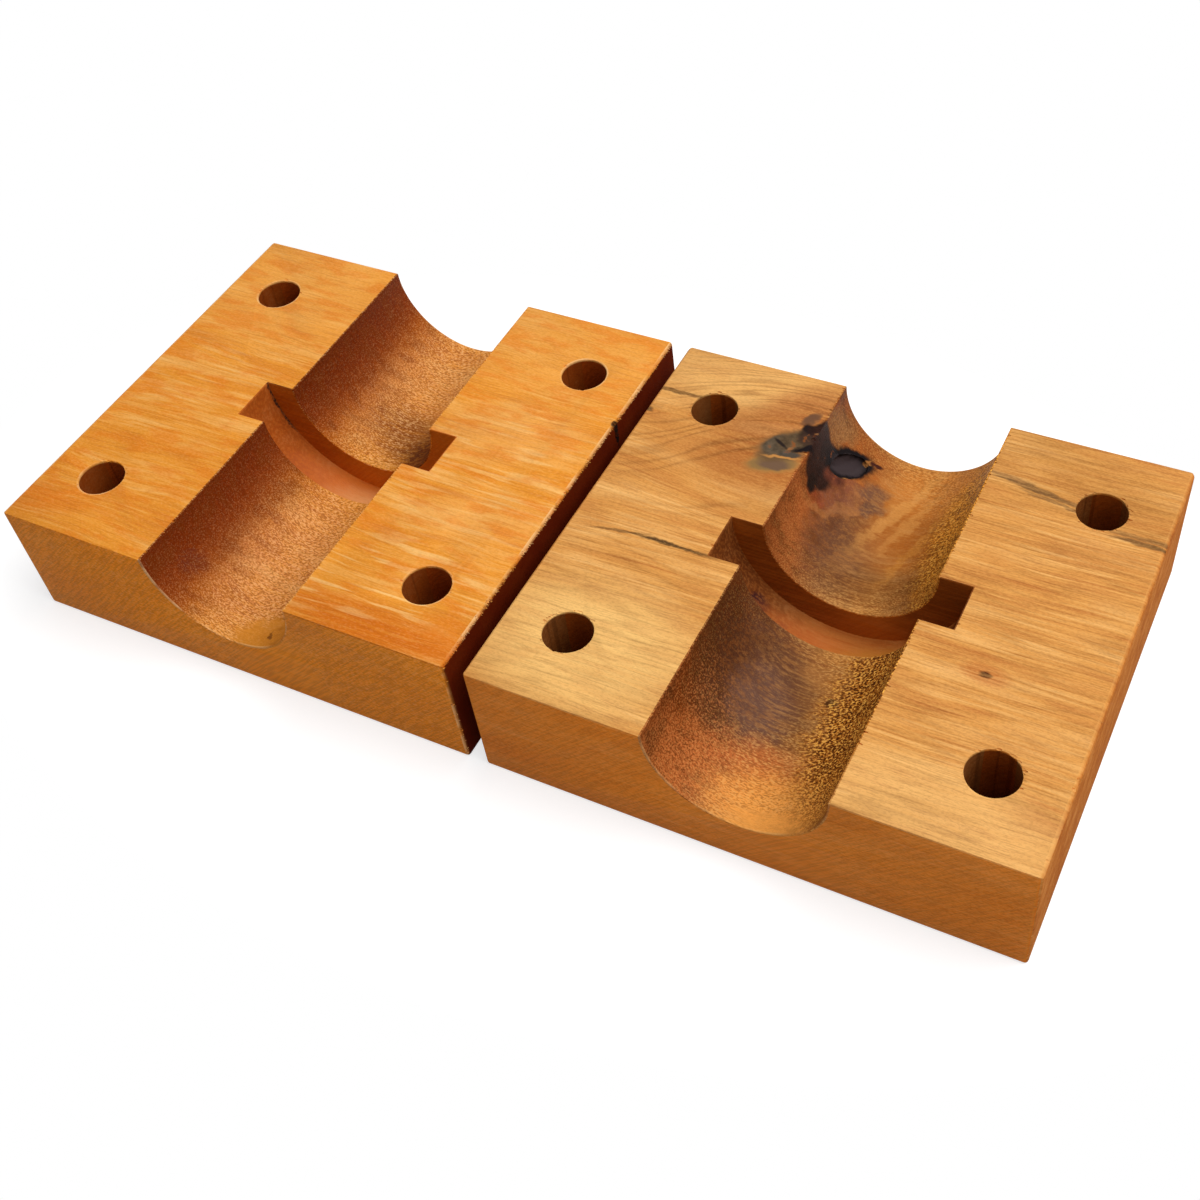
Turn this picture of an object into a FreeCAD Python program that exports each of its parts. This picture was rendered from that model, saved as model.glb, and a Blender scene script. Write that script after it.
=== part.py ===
import FreeCAD, Part
import os
import Sketcher

# Split wooden bearing block, laid open: two matching halves side by side, half bores up.
# X runs across the bores, Y along them, Z up. The origin is on the floor, midway between the halves.

# Driving sizes in millimetres, angles in degrees.
SIZES = {
    "half_width": (127.0, "each half, across the bore"),
    "half_length": (114.3, "each half, along the bore"),
    "half_height": (33.3375, "each half, from its underside to the split face"),
    "arris_radius": (0.8, "outer edges, eased by handling"),
    "bore_diameter": (41.275, "shaft bore, centred on the split face"),
    "collar_diameter": (57.15, "groove that holds the shaft's collar"),
    "collar_width": (12.7, "groove, along the bore"),
    "bolt_diameter": (11.5, "through hole for a clamping bolt"),
    "bolt_across": (95.25, "hole centres, across the bore"),
    "bolt_along": (76.2, "hole centres, along the bore"),
    "laid_gap": (4.6, "space between the halves as they lie"),
    "bark_along": (44.3, "bark pocket, from mid-length towards the back"),
    "bark_angle": (42.5, "bark pocket, round the bore wall from the inner lip"),
    "bark_turn": (48.0, "long way of the bark pocket, turned from the bore"),
    "bark_long": (14.0, "bark pocket, along its grain"),
    "bark_wide": (6.6, "bark pocket, across its grain"),
    "bark_depth": (1.6, "bark pocket, below the bore wall"),
}

doc = FreeCAD.newDocument("bearing_block")
sheet = doc.addObject("Spreadsheet::Sheet", "sizes")
for row, (alias, (value, note)) in enumerate(SIZES.items(), start=1):
    sheet.set(f"A{row}", alias)
    sheet.set(f"B{row}", str(value))
    sheet.set(f"C{row}", note)
    sheet.setAlias(f"B{row}", alias)
doc.recompute()


def size(alias):
    return SIZES[alias][0]


def origin_feature(body, role):
    return next(item for item in body.Origin.OriginFeatures if item.Role == role)


def plane_sketch(body, name, role):
    sketch = body.newObject("Sketcher::SketchObject", name)
    sketch.AttachmentSupport = (origin_feature(body, role), [""])
    sketch.MapMode = "FlatFace"
    return sketch


def dimension(sketch, kind, ends, alias, share=1):
    name = alias if share == 1 else f"{alias}_part"
    index = sketch.addConstraint(Sketcher.Constraint(kind, *ends, size(alias) / share))
    sketch.renameConstraint(index, name)
    sketch.setExpression(f"Constraints.{name}", f"sizes.{alias} / {share}")


def rectangle(sketch, low, high):
    corners = [
        FreeCAD.Vector(low[0], low[1], 0),
        FreeCAD.Vector(high[0], low[1], 0),
        FreeCAD.Vector(high[0], high[1], 0),
        FreeCAD.Vector(low[0], high[1], 0),
    ]
    for side in range(4):
        sketch.addGeometry(Part.LineSegment(corners[side], corners[(side + 1) % 4]), False)
    for side in range(4):
        sketch.addConstraint(Sketcher.Constraint("Coincident", side, 2, (side + 1) % 4, 1))
        sketch.addConstraint(Sketcher.Constraint("Vertical" if side % 2 else "Horizontal", side))


def cut(body, feature):
    before = body.Shape.Volume
    doc.recompute()
    if not feature.Shape.isValid() or feature.Shape.Volume > before - 1.0:
        raise RuntimeError(f"{body.Label}: {feature.Name} removed nothing")
    return feature


def sawn_block(body):
    half_x = size("half_width") / 2
    half_y = size("half_length") / 2
    sketch = plane_sketch(body, "BlockSketch", "XY_Plane")
    rectangle(sketch, (-half_x, -half_y), (half_x, half_y))
    sketch.addConstraint(Sketcher.Constraint("Symmetric", 0, 1, 2, 1, -1, 1))
    dimension(sketch, "DistanceX", (0, 1, 0, 2), "half_width")
    dimension(sketch, "DistanceY", (1, 1, 1, 2), "half_length")
    pad = body.newObject("PartDesign::Pad", "Block")
    pad.Profile = sketch
    pad.Length = size("half_height")
    pad.setExpression("Length", "sizes.half_height")
    doc.recompute()
    return pad


def eased_arrises(body, block):
    # Four upright edges and the outline of the underside. The split face keeps its sawn edges.
    top = size("half_height")
    edges = []
    for number, edge in enumerate(block.Shape.Edges, start=1):
        if min(vertex.Z for vertex in edge.Vertexes) < top / 2:
            edges.append(f"Edge{number}")
    fillet = body.newObject("PartDesign::Fillet", "EasedArrises")
    fillet.Base = (block, edges)
    fillet.Radius = size("arris_radius")
    fillet.setExpression("Radius", "sizes.arris_radius")
    return cut(body, fillet)


def half_bore(body):
    # The bore is drilled through both halves clamped together, so its axis lies on the split face.
    sketch = plane_sketch(body, "BoreSketch", "XZ_Plane")
    centre = FreeCAD.Vector(0, size("half_height"), 0)
    sketch.addGeometry(Part.Circle(centre, FreeCAD.Vector(0, 0, 1), size("bore_diameter") / 2), False)
    sketch.addConstraint(Sketcher.Constraint("PointOnObject", 0, 3, -2))
    dimension(sketch, "DistanceY", (-1, 1, 0, 3), "half_height")
    dimension(sketch, "Diameter", (0,), "bore_diameter")
    pocket = body.newObject("PartDesign::Pocket", "Bore")
    pocket.Profile = sketch
    pocket.SideType = "Symmetric"
    pocket.Type = "ThroughAll"
    return cut(body, pocket)


def collar_groove(body):
    # Turned round the bore axis at mid-length.
    half_width = size("collar_width") / 2
    axis_height = size("half_height")
    depth = size("collar_diameter") / 2
    sketch = plane_sketch(body, "CollarSketch", "YZ_Plane")
    rectangle(sketch, (-half_width, axis_height - depth), (half_width, axis_height))
    start = FreeCAD.Vector(-size("half_length") / 2, axis_height, 0)
    end = FreeCAD.Vector(size("half_length") / 2, axis_height, 0)
    axis = sketch.addGeometry(Part.LineSegment(start, end), True)
    sketch.addConstraint(Sketcher.Constraint("Symmetric", axis, 1, axis, 2, -2))
    sketch.addConstraint(Sketcher.Constraint("PointOnObject", 2, 1, axis))
    dimension(sketch, "DistanceX", (axis, 1, axis, 2), "half_length")
    dimension(sketch, "DistanceY", (-1, 1, axis, 1), "half_height")
    dimension(sketch, "DistanceX", (0, 1, 0, 2), "collar_width")
    dimension(sketch, "DistanceX", (-1, 1, 0, 2), "collar_width", share=2)
    dimension(sketch, "DistanceY", (1, 1, 1, 2), "collar_diameter", share=2)
    groove = body.newObject("PartDesign::Groove", "CollarGroove")
    groove.Profile = sketch
    groove.ReferenceAxis = (sketch, ["Axis0"])
    groove.Angle = 360
    return cut(body, groove)


def bolt_holes(body):
    # One hole is drilled, then repeated across both middle planes.
    sketch = plane_sketch(body, "BoltSketch", "XY_Plane")
    centre = FreeCAD.Vector(size("bolt_across") / 2, size("bolt_along") / 2, 0)
    sketch.addGeometry(Part.Circle(centre, FreeCAD.Vector(0, 0, 1), size("bolt_diameter") / 2), False)
    dimension(sketch, "DistanceX", (-1, 1, 0, 3), "bolt_across", share=2)
    dimension(sketch, "DistanceY", (-1, 1, 0, 3), "bolt_along", share=2)
    dimension(sketch, "Diameter", (0,), "bolt_diameter")
    hole = body.newObject("PartDesign::Pocket", "BoltHole")
    hole.Profile = sketch
    hole.Type = "ThroughAll"
    hole.Reversed = True
    cut(body, hole)
    pattern = body.newObject("PartDesign::MultiTransform", "BoltHoles")
    pattern.Originals = [hole]
    mirrors = []
    for name, role in (("AcrossBore", "YZ_Plane"), ("AlongBore", "XZ_Plane")):
        mirror = body.newObject("PartDesign::Mirrored", name)
        mirror.MirrorPlane = (origin_feature(body, role), [""])
        mirrors.append(mirror)
    pattern.Transformations = mirrors
    body.Tip = pattern
    return cut(body, pattern)


def bark_pocket(body):
    # Bark that fell out of the knot left a shallow oval hollow in the bore wall, near the back end.
    hollow = body.newObject("PartDesign::SubtractiveEllipsoid", "BarkPocket")
    for radius, alias, share in (
        ("Radius1", "bark_depth", 1),
        ("Radius2", "bark_long", 2),
        ("Radius3", "bark_wide", 2),
    ):
        setattr(hollow, radius, size(alias) / share)
        hollow.setExpression(radius, f"sizes.{alias} / {share}")
    hollow.setExpression(
        "Placement",
        "placement(vector(-sizes.bore_diameter / 2 * cos(sizes.bark_angle * 1 deg);"
        " sizes.bark_along;"
        " sizes.half_height - sizes.bore_diameter / 2 * sin(sizes.bark_angle * 1 deg));"
        " rotation(vector(0; 1; 0); 90 - sizes.bark_angle)"
        " * rotation(vector(0; 0; 1); 90 - sizes.bark_turn))",
    )
    return cut(body, hollow)


def bearing_half(label, side):
    body = doc.addObject("PartDesign::Body", label)
    body.Label = label
    eased_arrises(body, sawn_block(body))
    half_bore(body)
    collar_groove(body)
    bolt_holes(body)
    body.setExpression("Placement.Base.x", f"{side} * (sizes.half_width + sizes.laid_gap) / 2")
    return body


left_half = bearing_half("left_half", -1)
right_half = bearing_half("right_half", 1)
bark_pocket(right_half)
doc.recompute()

for item in doc.Objects:
    if "Invalid" in item.State or "Error" in item.State:
        raise RuntimeError(f"{item.Name} did not build: {item.State}")

os.makedirs("parts", exist_ok=True)
for body in (left_half, right_half):
    shape = body.Shape
    if shape.isNull() or not shape.isValid() or len(shape.Solids) != 1:
        raise RuntimeError(f"{body.Label} is not one valid solid")
    shape.exportStep(f"parts/{body.Label}.step")
    box = shape.BoundBox
    print(body.Label, round(shape.Volume / 1000, 2), "cm3", [round(v, 3) for v in (
        box.XMin, box.XMax, box.YMin, box.YMax, box.ZMin, box.ZMax)])
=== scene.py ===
import math

import bmesh
import bpy
from mathutils import Euler, Matrix, Vector


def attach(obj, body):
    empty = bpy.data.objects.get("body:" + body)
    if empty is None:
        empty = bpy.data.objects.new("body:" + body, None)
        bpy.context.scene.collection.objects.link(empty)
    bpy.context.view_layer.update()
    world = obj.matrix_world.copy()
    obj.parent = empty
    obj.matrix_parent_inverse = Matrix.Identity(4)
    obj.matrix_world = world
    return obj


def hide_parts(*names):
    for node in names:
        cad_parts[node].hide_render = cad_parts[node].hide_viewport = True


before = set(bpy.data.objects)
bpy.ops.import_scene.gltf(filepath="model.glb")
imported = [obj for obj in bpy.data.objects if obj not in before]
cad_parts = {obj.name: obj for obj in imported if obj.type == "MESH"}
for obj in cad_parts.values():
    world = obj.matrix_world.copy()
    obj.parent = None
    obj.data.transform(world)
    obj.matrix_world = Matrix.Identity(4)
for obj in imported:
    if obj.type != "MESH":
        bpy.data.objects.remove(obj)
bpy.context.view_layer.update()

mm = 0.001


def hexToLinear(code):
    shares = [int(code[i:i + 2], 16) / 255 for i in (1, 3, 5)]
    return tuple(v / 12.92 if v <= 0.04045 else ((v + 0.055) / 1.055) ** 2.4 for v in shares) + (1.0,)


# Settings and sockets that many nodes and trees share.
smooth = {"interpolation_type": "SMOOTHSTEP"}
clampedMinus = {"operation": "SUBTRACT", "use_clamp": True}
rgba = {"data_type": "RGBA"}
tinted = {"data_type": "RGBA", "blend_type": "MULTIPLY"}
cutAway = {"operation": "DIFFERENCE", "solver": "EXACT"}
anyVector = {"data_type": "FLOAT_VECTOR"}
meshOnly = {"Geometry": ["Geometry"]}


def addNode(tree, kind, settings=None, links=None):
    # a kind without its prefix is a shader node, and settings in one word are its operation
    node = tree.nodes.new(kind if "Node" in kind else "ShaderNode" + kind)
    if isinstance(settings, str):
        settings = {"operation": settings}
    for name, value in (settings or {}).items():
        setattr(node, name, value)
    for socket, source in (links or {}).items():
        if isinstance(source, bpy.types.Node):
            source = next(output for output in source.outputs if output.enabled)
        if isinstance(source, bpy.types.NodeSocket):
            tree.links.new(source, node.inputs[socket])
        else:
            node.inputs[socket].default_value = source
    return node


def newGroup(name, kind, inputs, outputs):
    # inputs and outputs are given as names for each type of socket
    tree = bpy.data.node_groups.new(name, kind)
    for direction, sockets in (("INPUT", inputs), ("OUTPUT", outputs)):
        for socketType, labels in sockets.items():
            for label in labels:
                tree.interface.new_socket(label, in_out=direction, socket_type="NodeSocket" + socketType)
    return tree, tree.nodes.new("NodeGroupInput").outputs, tree.nodes.new("NodeGroupOutput").inputs


def closeTree(tree, given, out, solid):
    # every shape leaves its tree as a plain mesh in its own wood
    solid = addNode(tree, "GeometryNodeRealizeInstances", None, {0: solid})
    solid = addNode(tree, "GeometryNodeSetMaterial", None, {"Geometry": solid, "Material": given["Wood"]})
    tree.links.new(solid.outputs[0], out["Geometry"])
    return tree


def runTree(piece, tree, values):
    modifier = piece.modifiers.new(tree.name, "NODES")
    modifier.node_group = tree
    for item in tree.interface.items_tree:
        if item.in_out == "INPUT" and item.name in values:
            modifier[item.identifier] = values[item.name]
    ready = piece.evaluated_get(bpy.context.evaluated_depsgraph_get())
    mesh = bpy.data.meshes.new_from_object(ready)
    piece.modifiers.remove(modifier)
    piece.data = mesh
    print(piece.name, tree.name, len(mesh.polygons), "faces")
    return mesh


# Both halves are sawn, bored and drilled to the same sizes, in millimetres.
block = {
    "Width": 127.0,
    "Length": 114.3,
    "Height": 33.3375,
    "Bore Radius": 20.6375,
    "Collar Radius": 28.575,
    "Collar Width": 12.7,
    "Bolt Radius": 5.75,
    "Bolt Across": 95.25,
    "Bolt Along": 76.2,
}
boreSteps, boltSteps = 192, 96  # sides of the round cuts


def halfBlockTree():
    tree, given, out = newGroup("bearingHalf", "GeometryNodeTree",
                                {"Float": [*block, "Centre X"], "Material": ["Wood"]}, meshOnly)
    halfHeight = addNode(tree, "Math", "MULTIPLY", {0: given["Height"], 1: 0.5})
    blockSize = addNode(tree, "CombineXYZ", None,
                        {0: given["Width"], 1: given["Length"], 2: given["Height"]})
    middle = addNode(tree, "CombineXYZ", None, {0: given["Centre X"], 2: halfHeight})
    splitMiddle = addNode(tree, "CombineXYZ", None, {0: given["Centre X"], 2: given["Height"]})
    plain = addNode(tree, "GeometryNodeMeshCube", None, {"Size": blockSize})
    solid = addNode(tree, "GeometryNodeTransform", None, {"Geometry": plain, "Translation": middle})
    # bore and collar groove turn about one axis on the split face
    turn = (math.pi / 2, math.pi / boreSteps, 0)  # half a step of twist keeps points off that face
    through = addNode(tree, "Math", "MULTIPLY", {0: given["Length"], 1: 1.2})
    for radius, depth in ((given["Bore Radius"], through), (given["Collar Radius"], given["Collar Width"])):
        tool = addNode(tree, "GeometryNodeMeshCylinder", None,
                       {"Vertices": boreSteps, "Radius": radius, "Depth": depth})
        tool = addNode(tree, "GeometryNodeTransform", None,
                       {"Geometry": tool, "Translation": splitMiddle, "Rotation": turn})
        solid = addNode(tree, "GeometryNodeMeshBoolean", cutAway, {0: solid, 1: tool})
    # one drill, repeated on the corners of a rectangle
    corners = addNode(tree, "GeometryNodeMeshGrid", None,
                      {"Size X": given["Bolt Across"], "Size Y": given["Bolt Along"],
                       "Vertices X": 2, "Vertices Y": 2})
    drillLength = addNode(tree, "Math", "MULTIPLY", {0: given["Height"], 1: 1.5})
    drill = addNode(tree, "GeometryNodeMeshCylinder", None,
                    {"Vertices": boltSteps, "Radius": given["Bolt Radius"], "Depth": drillLength})
    drills = addNode(tree, "GeometryNodeInstanceOnPoints", None, {"Points": corners, "Instance": drill})
    drills = addNode(tree, "GeometryNodeRealizeInstances", None, {0: drills})
    drills = addNode(tree, "GeometryNodeTransform", None, {"Geometry": drills, "Translation": middle})
    solid = addNode(tree, "GeometryNodeMeshBoolean", cutAway, {0: solid, 1: drills})
    return closeTree(tree, given, out, solid)


# Wear in millimetres: outer edges are rounded by handling, every other edge above the angle a little.
wear = {"arris": 0.8, "edges": 0.22, "sharpAngle": 35}


def wornEdges(mesh, centreX):
    bm = bmesh.new()
    bm.from_mesh(mesh)
    bmesh.ops.remove_doubles(bm, verts=bm.verts, dist=1e-6)
    near = 1e-5
    halfX, halfY = block["Width"] * mm / 2, block["Length"] * mm / 2
    outer = []  # the upright edges and those of the underside
    for edge in bm.edges:
        ends = [(abs(v.co.x - centreX) > halfX - near, abs(v.co.y) > halfY - near, v.co.z < near)
                for v in edge.verts]
        if sum(a and b for a, b in zip(*ends)) >= 2:
            outer.append(edge)
    bmesh.ops.bevel(bm, geom=outer, offset=wear["arris"] * mm, segments=4, profile=0.5, affect="EDGES")
    bm.normal_update()
    sharpAngle = math.radians(wear["sharpAngle"])
    sharp = [edge for edge in bm.edges if len(edge.link_faces) == 2 and edge.calc_face_angle() > sharpAngle]
    bmesh.ops.bevel(bm, geom=sharp, offset=wear["edges"] * mm, segments=2, profile=0.5, affect="EDGES")
    bm.to_mesh(mesh)
    bm.free()


# The bark-lined hollow in the right half's bore, in millimetres, placed by its angle below the split face.
barkPocket = {
    "along": 44.3,
    "angle": 42.5,
    "turn": 48.0,
    "long": 14.0,
    "wide": 6.6,
    "depth": 1.6,
    "ragged": 0.3,
}


def barkPocketTree():
    tree, given, out = newGroup(
        "barkPocket", "GeometryNodeTree",
        {"Geometry": ["Geometry"], "Vector": ["Middle", "Radii"], "Rotation": ["Turn"],
         "Float": ["Ragged"], "Material": ["Wood"]}, meshOnly)
    ball = addNode(tree, "GeometryNodeMeshIcoSphere", None, {"Radius": 1.0, "Subdivisions": 4})
    here = addNode(tree, "GeometryNodeInputPosition")
    uneven = addNode(tree, "TexNoise", None, {"Vector": here, "Scale": 2.4, "Detail": 2.0})
    uneven = addNode(tree, "Math", "SUBTRACT", {0: uneven, 1: 0.5})
    uneven = addNode(tree, "Math", "MULTIPLY", {0: uneven, 1: given["Ragged"]})
    push = addNode(tree, "VectorMath", "SCALE", {0: here, "Scale": uneven})
    ball = addNode(tree, "GeometryNodeSetPosition", None, {"Geometry": ball, "Offset": push})
    ball = addNode(tree, "GeometryNodeTransform", None,
                   {"Geometry": ball, "Translation": given["Middle"],
                    "Rotation": given["Turn"], "Scale": given["Radii"]})
    solid = addNode(tree, "GeometryNodeMeshBoolean", cutAway, {0: given["Geometry"], 1: ball})
    return closeTree(tree, given, out, solid)


def pocketValues(centreX):
    # hollow's own axes: across the bore wall, along its turn, and out of the wall
    angle, turn = math.radians(barkPocket["angle"]), math.radians(barkPocket["turn"])
    wallOut = Vector((math.cos(angle), 0, math.sin(angle)))
    wallDown = Vector((math.sin(angle), 0, -math.cos(angle)))
    lengthwise = wallDown * math.cos(turn) + Vector((0, 1, 0)) * math.sin(turn)
    axes = Matrix((lengthwise, wallOut.cross(lengthwise), wallOut)).transposed()
    middle = Vector((centreX, barkPocket["along"], block["Height"])) - wallOut * block["Bore Radius"]
    return {"Middle": middle * mm, "Turn": axes.to_euler(), "Ragged": barkPocket["ragged"],
            "Radii": Vector((barkPocket["long"] / 2, barkPocket["wide"] / 2, barkPocket["depth"])) * mm}


# Torn grain: shallow notches that run along the fibres, on hole rims, bore lips, collar notches and ends.
# A notch is given by half its length, width and depth in millimetres.
tears = {
    "left_half": {"Notch": (1.0, 0.45, 0.35), "Seed": 3,
                  "Rim Share": 0.3, "Lip Share": 0.12, "End Share": 0.6},
    "right_half": {"Notch": (1.2, 0.5, 0.4), "Seed": 8,
                   "Rim Share": 0.4, "Lip Share": 0.2, "End Share": 0.15},
}
tearPoints = {"rim": 48, "lip": 150, "notch": 14, "end": 130, "corner": 44}  # where tears may start
tearRange = {
    "shift": ((-0.0002, -0.0004, -0.0001), (0.0002, 0.0004, 0.0001)),  # metres
    "size": ((0.25, 0.35, 0.3), (1.0, 1.0, 1.0)),                      # share of the notch
    "turn": ((-0.3, -0.2, -0.25), (0.3, 0.2, 0.25)),
}


def tornGrainTree():
    tree, given, out = newGroup(
        "tornGrain", "GeometryNodeTree",
        {"Geometry": ["Geometry"], "Float": [*block, "Centre X", "Rim Share", "Lip Share", "End Share"],
         "Vector": ["Notch"], "Int": ["Seed"], "Material": ["Wood"]}, meshOnly)
    boreWide, collarWide = [addNode(tree, "Math", "MULTIPLY", {0: given[name], 1: 2.0})
                            for name in ("Bore Radius", "Collar Radius")]
    corners, lips, notches, ends = [
        addNode(tree, "GeometryNodeMeshGrid", None,
                {"Size X": sizeX, "Size Y": given[sizeY], "Vertices X": 2, "Vertices Y": count})
        for sizeX, sizeY, count in ((given["Bolt Across"], "Bolt Along", 2),
                                    (boreWide, "Length", tearPoints["lip"]),
                                    (collarWide, "Collar Width", tearPoints["notch"]),
                                    (given["Width"], "Length", tearPoints["end"]))]
    rim = addNode(tree, "GeometryNodeMeshCircle", None,
                  {"Vertices": tearPoints["rim"], "Radius": given["Bolt Radius"]})
    rims = addNode(tree, "GeometryNodeInstanceOnPoints", None, {"Points": corners, "Instance": rim})
    rims = addNode(tree, "GeometryNodeRealizeInstances", None, {0: rims})
    footX, footY, stepDown = [
        addNode(tree, "Math", "MULTIPLY", {0: given[name], 1: share})
        for name, share in (("Width", 0.5), ("Length", -0.5), ("Height", -1 / tearPoints["corner"]))]
    foot = addNode(tree, "CombineXYZ", None, {0: footX, 1: footY})
    rise = addNode(tree, "CombineXYZ", None, {2: stepDown})
    corner = addNode(tree, "GeometryNodeMeshLine", None,
                     {"Count": tearPoints["corner"], "Start Location": foot, "Offset": rise})
    pluck = addNode(tree, "GeometryNodeMeshIcoSphere", None, {"Radius": 0.5, "Subdivisions": 2})
    cutters = addNode(tree, "GeometryNodeJoinGeometry")
    paths = ((rims, "Rim Share"), (lips, "Lip Share"), (notches, "Lip Share"),
             (ends, "End Share"), (corner, "End Share"))
    for step, (path, share) in enumerate(paths):
        seeds = [addNode(tree, "Math", "ADD", {0: given["Seed"], 1: 10.0 * step + k}) for k in range(4)]
        picked = addNode(tree, "FunctionNodeRandomValue", {"data_type": "BOOLEAN"},
                         {"Probability": given[share], "Seed": seeds[0]})
        shift, size, turn = [
            addNode(tree, "FunctionNodeRandomValue", anyVector, {0: low, 1: high, "Seed": seed})
            for (low, high), seed in zip(tearRange.values(), seeds[1:])]
        moved = addNode(tree, "GeometryNodeSetPosition", None, {"Geometry": path, "Offset": shift})
        size = addNode(tree, "VectorMath", "MULTIPLY", {0: size, 1: given["Notch"]})
        placed = addNode(tree, "GeometryNodeInstanceOnPoints", None,
                         {"Points": moved, "Selection": picked, "Instance": pluck,
                          "Rotation": turn, "Scale": size})
        tree.links.new(placed.outputs[0], cutters.inputs[0])
    cutters = addNode(tree, "GeometryNodeRealizeInstances", None, {0: cutters})
    splitMiddle = addNode(tree, "CombineXYZ", None, {0: given["Centre X"], 2: given["Height"]})
    cutters = addNode(tree, "GeometryNodeTransform", None, {"Geometry": cutters, "Translation": splitMiddle})
    solid = addNode(tree, "GeometryNodeMeshBoolean", cutAway,
                    {0: given["Geometry"], 1: cutters, "Self Intersection": True})
    return closeTree(tree, given, out, solid)


# Loose fibres left by the saw and the boring bar, standing out of the end grain along the top edges.
fibres = {
    "left_half": {"Fibre Long": 0.7, "Fibre Thick": 0.16, "End Count": 520, "Inner Count": 160,
                  "Outer Count": 120, "Seed": 5, "Splinter Count": 1},
    "right_half": {"Fibre Long": 0.6, "Fibre Thick": 0.11, "End Count": 60, "Inner Count": 160,
                   "Outer Count": 260, "Seed": 12, "Splinter Count": 0},
}
splinter = {"place": (63.6, 24.6, -3.6), "turn": (0.06, -0.16, 0.3), "grow": (3.0, 4.4, 6.4)}


def looseFibreTree():
    tree, given, out = newGroup(
        "looseFibres", "GeometryNodeTree",
        {"Geometry": ["Geometry"],
         "Float": ["Width", "Length", "Height", "Bore Radius", "Collar Width", "Centre X",
                   "Fibre Long", "Fibre Thick"],
         "Int": ["End Count", "Inner Count", "Outer Count", "Splinter Count", "Seed"],
         "Vector": ["Splinter Place", "Splinter Grow"], "Rotation": ["Splinter Turn"],
         "Material": ["Wood"]}, meshOnly)
    halfWidth, inner, reach, notch, tip = [
        addNode(tree, "Math", "MULTIPLY", {0: given[name], 1: share})
        for name, share in (("Width", 0.5), ("Bore Radius", -1.0), ("Length", 0.494),
                            ("Collar Width", 0.53), ("Fibre Thick", 0.3))]
    fibre = addNode(tree, "GeometryNodeMeshCone", None,
                    {"Vertices": 4, "Radius Top": tip, "Radius Bottom": given["Fibre Thick"],
                     "Depth": given["Fibre Long"]})
    join = addNode(tree, "GeometryNodeJoinGeometry")
    # each edge: its X, its count, and which way along X its fibres lean out
    edges = ((halfWidth, "End Count", 1), (inner, "Inner Count", 1),
             (given["Bore Radius"], "Outer Count", -1))
    for step, (edgeX, count, lean) in enumerate(edges):
        seeds = [addNode(tree, "Math", "ADD", {0: given["Seed"], 1: 10.0 * step + k}) for k in range(4)]
        points = addNode(tree, "GeometryNodeMeshLine", None, {"Count": given[count]})
        along, drop = [
            addNode(tree, "FunctionNodeRandomValue", {"data_type": "FLOAT"}, {2: low, 3: high, "Seed": seed})
            for low, high, seed in ((-1.0, 1.0, seeds[0]), (-0.0006, -0.0001, seeds[1]))]
        along = addNode(tree, "Math", "MULTIPLY", {0: along, 1: reach})
        rootX = addNode(tree, "Math", "ADD", {0: edgeX, 1: -0.0004 * lean})  # rooted inside the wood
        place = addNode(tree, "CombineXYZ", None, {0: rootX, 1: along, 2: drop})
        offMiddle = addNode(tree, "Math", "ABSOLUTE", {0: along})
        # none hangs over the collar groove
        rooted = addNode(tree, "Math", "GREATER_THAN", {0: offMiddle, 1: notch if step else 0.0})
        points = addNode(tree, "GeometryNodeSetPosition", None, {"Geometry": points, "Position": place})
        turn = addNode(tree, "FunctionNodeRandomValue", anyVector,
                       {0: (0, lean * 1.2, -0.5), 1: (0, lean * 1.9, 0.5), "Seed": seeds[2]})
        size = addNode(tree, "FunctionNodeRandomValue", anyVector,
                       {0: (0.4, 0.4, 0.3), 1: (1.0, 1.0, 1.0), "Seed": seeds[3]})
        placed = addNode(tree, "GeometryNodeInstanceOnPoints", None,
                         {"Points": points, "Selection": rooted, "Instance": fibre,
                          "Rotation": turn, "Scale": size})
        tree.links.new(placed.outputs[0], join.inputs[0])
    stout = addNode(tree, "GeometryNodeMeshLine", None,
                    {"Count": given["Splinter Count"], "Start Location": given["Splinter Place"]})
    stout = addNode(tree, "GeometryNodeInstanceOnPoints", None,
                    {"Points": stout, "Instance": fibre, "Rotation": given["Splinter Turn"],
                     "Scale": given["Splinter Grow"]})
    tree.links.new(stout.outputs[0], join.inputs[0])
    splitMiddle = addNode(tree, "CombineXYZ", None, {0: given["Centre X"], 2: given["Height"]})
    strands = addNode(tree, "GeometryNodeTransform", None, {"Geometry": join, "Translation": splitMiddle})
    whole = addNode(tree, "GeometryNodeJoinGeometry", None, {0: strands})
    tree.links.new(given["Geometry"], whole.inputs[0])
    return closeTree(tree, given, out, whole)


# How far each zone of the surface reaches past its true edge, in millimetres.
zoneReach = {"bore": 0.4, "end": -0.9, "groove": 0.2, "grooveFloor": 0.3, "land": 0.5, "face": -0.4,
             "lip": 0.1, "bolt": 0.15, "rim": 0.3}


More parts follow.
